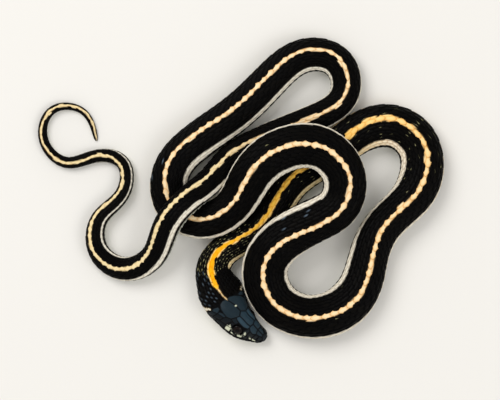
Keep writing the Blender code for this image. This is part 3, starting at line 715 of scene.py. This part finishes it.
top = np.stack([layer[:-1, :-1], layer[:-1, 1:], layer[1:, 1:], layer[1:, :-1]], -1).reshape(-1, 4)
edge = [*layer[0], *layer[1:, -1], *layer[-1, -2::-1], *layer[-2:0:-1, 0]]
wall = np.array([(b, a, a + layer.size, b + layer.size) for a, b in zip(edge, edge[1:] + edge[:1])])
one_scute = np.r_[top, top[:, ::-1] + layer.size, wall]
points = np.concatenate([upper.reshape(count, -1, 3), lower.reshape(count, -1, 3)], 1)
faces = (one_scute[None] + (np.arange(count) * 2 * layer.size)[:, None, None]).reshape(-1, 4)
scutes = add_piece("belly_scutes", points.reshape(-1, 3), faces)
bpy.context.view_layer.objects.active = scutes
bpy.ops.object.mode_set(mode="EDIT")
bpy.ops.mesh.select_all(action="SELECT")
bpy.ops.mesh.normals_make_consistent(inside=False)
bpy.ops.object.mode_set(mode="OBJECT")
from_end = np.minimum(t_grid, 1 - t_grid)
spot = np.exp(-(((from_end - 0.12) / 0.035) ** 2) - ((u_grid - 0.45) / 0.3) ** 2)
write_mask(scutes, "spot", np.tile(spot.ravel(), 2 * count))
write_mask(scutes, "lip", np.tile(np.clip(u_grid * 4 - 3, 0, 1).ravel(), 2 * count))
write_mask(scutes, "ends", np.tile(soft_step((0.10 - from_end) / 0.05).ravel(), 2 * count))
finish, tree, shader = new_finish("belly_scutes")
clouds = noise_node(tree, 500)
pearl = colour_mix(tree, clouds, shade(196, 205, 190), shade(222, 220, 200))
pearl = cover(tree, pearl, "lip", shade(232, 230, 218))
pearl = cover(tree, pearl, "spot", shade(20, 20, 20))
tree.links.new(cover(tree, pearl, "ends", shade(22, 19, 16)), shader.inputs["Base Color"])
shader.inputs["Roughness"].default_value = 0.35
shader.inputs["Coat Weight"].default_value = 0.15
tree.links.new(bump_node(tree, clouds, 0.00008, 0.5), shader.inputs["Normal"])
scutes.data.materials.append(finish)
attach(scutes, "root")

# The head
# A firm head of bone under thin skin, covered by large smooth shields in a set pattern: pairs along the
# crown, a row along each lip, and smaller ones round the eyes and over the temples. The mouth is closed.

HEAD_REAR = 23.5
HEAD_STEP = 0.13
HEAD_SIDES = 288
SHIELD_HEIGHT = 0.15
SHIELD_BEVEL = 0.3
SEAM_HALF = 0.45
MOUTH_LINE = ((-2, 1.9), (0.6, 1.95), (3, 2.3), (8, 2.45), (13, 2.6), (18, 3.1), (20.5, 3.3))
MOUTH_REAR = 20.6
MOUTH_HALF = 0.17
MOUTH_DEEP = 0.3
MOUTH_SIDE = math.radians(130)
THROAT_FROM = math.radians(118)
EYE_AT = 9.9
EYE_HEIGHT = 5.0
EYE_RADIUS = 1.85
EYE_FLATNESS = 0.58
EYE_SUNK = 0.42
NOSTRIL_AT = 2.5
NOSTRIL_HEIGHT = 4.0
NOSTRIL_RADIUS = 0.34


def half_section(s):
    """(angles, reaches, heights, lengths round from the crown) of the left half of the head at a distance."""
    angles = np.radians(np.arange(0, 180.5, 1))
    out, up = section(np.full(len(angles), float(max(s, 0.0))), angles)
    arc = np.r_[0, np.cumsum(np.hypot(np.diff(out), np.diff(up)))]
    return angles, out, up, arc


def cheek(s, up):
    """A corner on the side of the head, by its height: (distance, length round from the crown)."""
    _, _, ups, arc = half_section(s)
    return s, float(np.interp(-up, -ups, arc))


def throat(s, out):
    """A corner under the head, by its reach from the middle: (distance, length round from the crown)."""
    _, outs, _, arc = half_section(s)
    widest = int(np.argmax(outs))
    return s, float(np.interp(-out, -outs[widest:], arc[widest:]))


def mouth(s):
    return float(profile(MOUTH_LINE, s))


# The shields, by name: corners and how light each is. One of each pair stands for both sides
shields = {
    "rostral": ([(-3, -4), (-3, 4), (0.5, 1.6), (1.2, 0.8), (1.4, 0), (1.2, -0.8), (0.5, -1.6)], 0.1),
    "internasal": ([(1.4, 0), (1.2, 0.8), (2.4, 1.45), (3.7, 1.75), (4.2, 0)], 0.36),
    "prefrontal": ([(4.2, 0), (3.7, 1.75), (4.8, 2.8), (6.2, 2.75), (7.1, 2.1), (7.2, 1.45), (6.8, 0)], 0.5),
    "frontal": ([(6.8, 0), (7.2, 1.45), (8.5, 1.55), (10.9, 1.45), (12.9, 1.65), (14.2, 0),
                 (12.9, -1.65), (10.9, -1.45), (8.5, -1.55), (7.2, -1.45)], 0.6),
    "supraocular": ([(7.2, 1.45), (7.1, 2.1), (7.4, 2.9), (8.9, 3.5), (11.0, 3.55), (12.6, 3.4), (13.3, 3.0),
                     (12.9, 1.65), (10.9, 1.45), (8.5, 1.55)], 0.75),
    "parietal": ([(12.9, 1.65), (14.2, 0), (21.0, 0), (21.3, 1.5), (20.6, 3.2), (19.2, 4.6), (17.4, 5.4),
                  (15.6, 5.6), (14.1, 4.8), (13.3, 3.0)], 0.27),
    "nasal_front": ([(1.2, 0.8), (0.5, 1.6), cheek(1.6, 3.35), cheek(2.5, 3.4), (2.4, 1.45)], 0.05),
    "nasal_rear": ([(2.4, 1.45), cheek(2.5, 3.4), cheek(4.1, 3.65), (4.2, 3.3), (3.7, 1.75)], 0.05),
    "loreal": ([(3.7, 1.75), (4.2, 3.3), cheek(4.1, 3.65), cheek(6.3, 3.8), (6.4, 4.3), (6.2, 2.75),
                (4.8, 2.8)], 0.03),
    "preocular": ([(6.2, 2.75), (6.4, 4.3), cheek(6.3, 3.8), cheek(7.9, 3.8), (8.2, 4.4), (7.4, 2.9),
                   (7.1, 2.1)], 0.08),
    "postocular_top": ([(12.6, 3.4), (11.2, 3.6), (11.6, 5.0), (13.0, 5.1), (14.1, 4.8), (13.3, 3.0)], 0.1),
    "postocular_middle": ([(11.6, 5.0), (11.9, 6.3), (13.5, 6.4), (13.0, 5.1)], 0.0),
    "postocular_low": ([(11.9, 6.3), cheek(11.4, 4.0), cheek(13.6, 4.3), (13.5, 6.4)], 0.02),
    "temporal_front": ([(13.5, 6.4), cheek(13.6, 4.3), cheek(16.2, 4.6), (16.0, 6.6), (15.6, 5.6),
                        (14.1, 4.8), (13.0, 5.1)], 0.04),
    "temporal_low": ([(16.0, 6.6), cheek(16.2, 4.6), cheek(18.6, 4.5), (18.4, 7.0)], 0.02),
    # temporal_top and temporal_rear are lighter than the black temple round them: painted highlights for the
    # bluish glints on these scales
    "temporal_top": ([(15.6, 5.6), (16.0, 6.6), (18.4, 7.0), (18.6, 5.9), (17.4, 5.4)], 0.3),
    "temporal_rear": ([(18.6, 5.9), (18.4, 7.0), (20.3, 7.4), (20.7, 6.1), (20.2, 4.4), (19.2, 4.7)], 0.35),
    "temporal_last": ([(18.4, 7.0), cheek(18.6, 4.5), cheek(20.6, 4.4), (20.3, 7.4)], 0.1),
    "mental": ([(-3, 5), (-3, 30), throat(1.6, 0), throat(1.3, 1.0), cheek(0.8, mouth(0.8) - 0.15)], 0.9),
    "chin_front": ([throat(3.2, 0.08), throat(3.2, 0.9), throat(8.2, 1.7), throat(9.0, 0.08)], 0.95),
    "chin_rear": ([throat(9.1, 0.08), throat(8.3, 1.7), throat(13.8, 2.2), throat(15.0, 0.9),
                   throat(11.6, 0.08)], 0.95),
}
UPPER_LIP_EDGES = (1.0, 2.4, 4.1, 5.6, 7.3, 9.3, 11.3, 13.4, 17.0, 20.6)
UPPER_LIP_TOPS = (3.3, 3.4, 3.65, 3.8, 3.8, 3.75, 4.5, 4.3, 4.6, 4.4)
for number, (front, rear) in enumerate(zip(UPPER_LIP_EDGES, UPPER_LIP_EDGES[1:])):
    lip_front, lip_rear = mouth(front) + 0.12, mouth(rear) + 0.12
    corners = [cheek(front, UPPER_LIP_TOPS[number]), cheek(front, lip_front), cheek(rear, lip_rear),
               cheek(rear, UPPER_LIP_TOPS[number + 1])]
    shields[f"upper_lip_{number}"] = (corners, 0.02)
LOWER_LIP_EDGES = (0.9, 2.4, 4.0, 5.9, 7.9, 10.0, 12.4, 15.0, 17.8, 20.4)
for number, (front, rear) in enumerate(zip(LOWER_LIP_EDGES, LOWER_LIP_EDGES[1:])):
    lip_front, lip_rear = mouth(front) - 0.12, mouth(rear) - 0.12
    corners = [cheek(front, lip_front), cheek(front, max(lip_front - 1.2, 0.5)),
               cheek(rear, max(lip_rear - 1.2, 0.3)), cheek(rear, lip_rear)]
    shields[f"lower_lip_{number}"] = (corners, 0.02)

# Small scales in staggered rows over the throat, between the chin shields and the lower lips
THROAT_ROWS = 4
THROAT_PITCH = 2.0
for row in range(THROAT_ROWS):
    for number, front in enumerate(np.arange(4.0 + row % 2, 21.0, THROAT_PITCH)):
        corners = []
        rear = front + THROAT_PITCH
        for at, line in ((front, row), (front, row + 1), (rear, row + 1), (rear, row)):
            near = float(np.interp(at, (13.5, 16.0), (2.35, 0.1)))
            far = max(0.82 * float(profile(HALF_WIDTH, at)), near + 0.1)
            corners.append(throat(at, near + (far - near) * line / THROAT_ROWS))
        shields[f"throat_{row}_{number}"] = (corners, 0.9)


def inside_distance(x, y, corners):
    """How far each point lies inside a closed outline; negative outside."""
    nearest = np.full(x.shape, np.inf)
    inside = np.zeros(x.shape, bool)
    for (ax, ay), (bx, by) in zip(corners, corners[1:] + corners[:1]):
        dx, dy = bx - ax, by - ay
        t = np.clip(((x - ax) * dx + (y - ay) * dy) / max(dx * dx + dy * dy, 1e-9), 0, 1)
        nearest = np.minimum(nearest, np.hypot(x - ax - t * dx, y - ay - t * dy))
        if ay != by:
            crosses = ((ay > y) != (by > y)) & (x < (bx - ax) * (y - ay) / (by - ay) + ax)
            inside ^= crosses
    return np.where(inside, nearest, -nearest)


# The head's surface, with the shields raised, the mouth, sockets and nostrils pressed in
snout_rings = -0.45 * np.cos(np.linspace(0, math.pi / 2, 8))
head_s = np.r_[snout_rings[:-1], np.arange(0, HEAD_REAR + 0.01, HEAD_STEP)]
head_share = np.linspace(-1, 1, HEAD_SIDES + 1)[:-1]
grid_s, grid_share = np.meshgrid(head_s, head_share, indexing="ij")
measured_s = np.maximum(grid_s, 0.0)
grid_angle = angle_of(measured_s, grid_share)
grid_up = section(measured_s, grid_angle)[1]
grid_arc = np.abs(grid_share - lean(measured_s)) * half_girth(measured_s)
height = np.zeros(grid_s.shape)
inner = np.full(grid_s.shape, -1.0)
light = np.zeros(grid_s.shape)
plate_tone = np.full(grid_s.shape, 0.5)
for number, (corners, paleness) in enumerate(shields.values()):
    depth = inside_distance(grid_s, grid_arc, corners)
    within = depth > 0
    raised = SHIELD_HEIGHT * soft_step(depth / SHIELD_BEVEL) + 0.1 * soft_step(depth / 1.8)
    height = np.where(within, raised, height)
    inner = np.where(within, depth, inner)
    light = np.where(within, paleness, light)
    plate_tone = np.where(within, (number * 0.618) % 1.0, plate_tone)
from_mouth = grid_up - profile(MOUTH_LINE, grid_s)
by_mouth = (np.abs(grid_angle) < MOUTH_SIDE) & (grid_s < MOUTH_REAR)
mouth_gap = np.where(by_mouth, np.abs(from_mouth), 9.0)
groove = soft_step(1 - mouth_gap / MOUTH_HALF)
height -= MOUTH_DEEP * groove
eye_arc = cheek(EYE_AT, EYE_HEIGHT)[1]
from_eye = np.hypot(grid_s - EYE_AT, grid_arc - eye_arc)
socket = soft_step((EYE_RADIUS + 0.14 - from_eye) / 0.22)
brow = np.exp(-(((from_eye - EYE_RADIUS - 0.32) / 0.24) ** 2))
height = height * (1 - socket) - 0.85 * socket + 0.10 * brow
from_nostril = np.hypot(grid_s - NOSTRIL_AT, (grid_arc - cheek(NOSTRIL_AT, NOSTRIL_HEIGHT)[1]) * 0.8)
nostril = soft_step((NOSTRIL_RADIUS - from_nostril) / 0.2)
height = height * (1 - nostril) - 0.45 * nostril
height -= 0.25 * soft_step((grid_s - 20.5) / 2.5)
head_points = lay(measured_s, grid_share, height)

# The front of the snout is rounded off: its rings shrink towards the middle of the first one
blunt = np.sqrt(np.clip(1 - (np.minimum(grid_s, 0) / 0.46) ** 2, 0.02, 1))
nose = lay(np.zeros(HEAD_SIDES), head_share, 0.0).mean(axis=0)
travel = np.array([*over_ground(np.array([0.0]))[2][0], 0.0])
head_points = nose + (head_points - nose) * np.where(grid_s < 0, blunt, 1)[..., None]
head_points = head_points + travel * (np.minimum(grid_s, 0) * MM)[..., None]
head_points[..., 2] = np.maximum(head_points[..., 2], 0)
first_ring = list(range(HEAD_SIDES))
last_ring = [head_s.size * HEAD_SIDES - 1 - i for i in range(HEAD_SIDES)]
head_faces = tube_faces(len(head_s), HEAD_SIDES)
head = add_piece("head_skin", head_points.reshape(-1, 3), head_faces, (first_ring, last_ring))

# Colours of the head: slate crown, white patches on black lips, a pale throat, and a patch behind the jaw.
# Patches: (distance, length round from the crown, half length, half height)
LIP_PATCHES = (
    (12.4, 8.3, 0.9, 1.35), (11.5, 7.4, 0.45, 0.5), (10.25, 8.7, 0.7, 0.4), (8.4, 7.4, 1.15, 0.6),
    (7.5, 6.4, 0.55, 0.5), (7.1, 5.1, 0.4, 0.75),
    (4.8, 4.9, 0.7, 0.38), (3.2, 4.6, 0.7, 0.55),
)
seams_and_hollow_shade = np.where(inner < 0, 1.0, soft_step(1 - inner / SEAM_HALF))
throat_seam = soft_step(1 - inner / 0.2) * 0.35 * (inner > 0)
seams_and_hollow_shade = np.where(grid_up < profile(MOUTH_LINE, grid_s) - 1, throat_seam, seams_and_hollow_shade)
wobble = 0.24 * np.sin(5.1 * grid_s + 2.3 * grid_arc) + 0.18 * np.sin(9.7 * grid_arc - 4.2 * grid_s)
pale_parts = soft_step((profile(MOUTH_LINE, grid_s) - grid_up - 0.75) / 0.5) * (np.abs(grid_angle) > 1.3)
pale_parts = np.maximum(pale_parts, (np.abs(grid_angle) > THROAT_FROM) * 1.0)
for spot_s, spot_arc, half_length, half_height in LIP_PATCHES:
    from_spot = np.hypot((grid_s - spot_s) / half_length, (grid_arc - spot_arc) / half_height) + wobble
    pale_parts = np.maximum(pale_parts, soft_step((1.1 - from_spot) / 0.25))
pale_parts = np.maximum(pale_parts, soft_step((1.1 - from_cheek_patch(grid_s, grid_arc)) / 0.3))
crown_dot = np.exp(-(((grid_s - 16.9) / 0.3) ** 2) - (grid_arc / 0.34) ** 2)
# The mouth groove, eye sockets and nostrils get the seams' near-black too: painted shade in these hollows
seams_and_hollow_shade = np.maximum(np.maximum(seams_and_hollow_shade, groove), np.maximum(socket, nostril)) * (1 - soft_step(crown_dot / 0.5))
write_mask(head, "seams_and_hollow_shade", seams_and_hollow_shade)
write_mask(head, "light", light)
write_mask(head, "pale", np.maximum(pale_parts, soft_step(crown_dot / 0.6)) * (1 - groove))
write_mask(head, "tone", plate_tone)
finish, tree, shader = new_finish("head_shields")
clouds = noise_node(tree, 900)
grain = noise_node(tree, 6000)
slate = colour_mix(tree, mask_node(tree, "light"), shade(5, 7, 8), shade(54, 80, 94))
toned = number_node(tree, "MULTIPLY", mask_node(tree, "tone"), 0.25)
slate = colour_mix(tree, toned, slate, shade(20, 30, 37))
slate = colour_mix(tree, number_node(tree, "MULTIPLY", clouds, 0.5), slate, shade(14, 19, 23))
slate = cover(tree, slate, "pale", shade(200, 202, 176))
# Near-black on the seams between shields, and painted shade in the mouth groove, eye sockets and nostrils
tree.links.new(cover(tree, slate, "seams_and_hollow_shade", shade(3, 3, 4)), shader.inputs["Base Color"])
rough = number_node(tree, "MULTIPLY_ADD", clouds, 0.2)
rough.node.inputs[2].default_value = 0.28
rough = number_node(tree, "MAXIMUM", rough, mask_node(tree, "seams_and_hollow_shade"))
tree.links.new(rough, shader.inputs["Roughness"])
shader.inputs["Specular IOR Level"].default_value = 0.12
tree.links.new(bump_node(tree, grain, 0.00003, 0.5), shader.inputs["Normal"])
head.data.materials.append(finish)
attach(head, "root")
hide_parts("head", "lower_jaw")

# The eyes
# Snakes have no lids: each eye lies under one clear scale that is part of the skin. It is a flattened ball
# with a round pupil and a dark brown iris, set in its socket so that a low dome stands out.

PUPIL_RADIUS = 0.85
for side, name in ((1, "eye_right"), (-1, "eye_left")):
    share = side * eye_arc / float(half_girth(EYE_AT))
    surface = lay(EYE_AT, share, 0.0)
    outward = lay(EYE_AT, share, 1.0) - surface
    outward /= np.linalg.norm(outward)
    ahead = lay(EYE_AT + 1.2, share, 0.0) - lay(EYE_AT - 1.2, share, 0.0)
    outward -= ahead * np.dot(outward, ahead) / np.dot(ahead, ahead)
    outward /= np.linalg.norm(outward)
    ahead /= np.linalg.norm(ahead)
    across = np.cross(outward, ahead)
    bpy.ops.mesh.primitive_uv_sphere_add(segments=64, ring_count=40, radius=1.0)
    eye = bpy.context.object
    eye.name = f"{name}_ball"
    unit = np.array([v.co[:] for v in eye.data.vertices])
    flat = unit * np.array([EYE_RADIUS, EYE_RADIUS, EYE_RADIUS * EYE_FLATNESS])
    centre = surface - outward * EYE_SUNK * MM
    placed = centre + (flat @ np.stack([ahead, across, outward])) * MM
    eye.data.vertices.foreach_set("co", placed.astype(np.float32).ravel())
    eye.data.update()
    from_axis = np.hypot(unit[:, 0], unit[:, 1]) * EYE_RADIUS
    facing = unit[:, 2] > 0
    write_mask(eye, "pupil", facing * soft_step((PUPIL_RADIUS - from_axis) / 0.12 + 0.5))
    write_mask(eye, "ring", facing * np.exp(-(((from_axis - PUPIL_RADIUS - 0.12) / 0.1) ** 2)))
    write_mask(eye, "rim", np.where(facing, soft_step((from_axis - 1.42) / 0.2), 1.0))
    for polygon in eye.data.polygons:
        polygon.use_smooth = True
    finish, tree, shader = new_finish(f"{name}_iris")
    fleck = noise_node(tree, 5000)
    iris = colour_mix(tree, fleck, shade(9, 5, 4), shade(20, 11, 8))
    iris = cover(tree, iris, "ring", shade(30, 18, 12))
    iris = cover(tree, iris, "pupil", shade(4, 3, 3))
    tree.links.new(cover(tree, iris, "rim", shade(6, 5, 5)), shader.inputs["Base Color"])
    shader.inputs["Roughness"].default_value = 0.3
    shader.inputs["Specular IOR Level"].default_value = 0.05
    shader.inputs["Coat Weight"].default_value = 0.12
    shader.inputs["Coat Roughness"].default_value = 0.03
    eye.data.materials.clear()
    eye.data.materials.append(finish)
    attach(eye, "root")
    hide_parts(name)

# The floor, the light and the camera
# A plain pale floor, a broad soft light from the upper left with a weaker one across from it, and a camera
# straight above. Both lights stand low enough that the backs of the dark scales don't mirror them.

bpy.ops.mesh.primitive_plane_add(size=6, location=(0, 0, 0))
floor = bpy.context.object
floor.name = "floor"
finish, tree, shader = new_finish("pale_floor")
shader.inputs["Base Color"].default_value = shade(226, 223, 217)
shader.inputs["Roughness"].default_value = 0.85
floor.data.materials.append(finish)

world = bpy.data.worlds.new("soft_room")
world.use_nodes = True
world.node_tree.nodes["Background"].inputs["Color"].default_value = (1.0, 1.0, 1.0, 1.0)
world.node_tree.nodes["Background"].inputs["Strength"].default_value = 0.7
bpy.context.scene.world = world
bpy.context.scene.view_settings.view_transform = "Standard"

LIGHTS = (
    ("broad_light", (-0.75, 0.75, 1.2), 1.0, 14.0),
    ("far_light", (0.9, -0.5, 1.1), 0.8, 5.0),
)
for name, spot, size, power in LIGHTS:
    lamp = bpy.data.lights.new(name, "AREA")
    lamp.shape = "DISK"
    lamp.size = size
    lamp.energy = power
    light_object = bpy.data.objects.new(name, lamp)
    bpy.context.scene.collection.objects.link(light_object)
    light_object.location = spot
    aim = -np.array(spot)
    light_object.rotation_euler = (
        math.atan2(math.hypot(aim[0], aim[1]), -aim[2]), 0, math.atan2(aim[1], aim[0]) - math.pi / 2
    )

camera_data = bpy.data.cameras.new("photo_camera")
CAMERA_HEIGHT = 1.2
PICTURE_WIDTH = 0.185
camera_data.sensor_width = 36.0
camera_data.lens = camera_data.sensor_width * CAMERA_HEIGHT / PICTURE_WIDTH
camera_data.clip_end = 20.0
camera = bpy.data.objects.new("photo_camera", camera_data)
camera.location = (0.003324, -0.003551, CAMERA_HEIGHT)
bpy.context.scene.collection.objects.link(camera)
bpy.context.scene.camera = camera
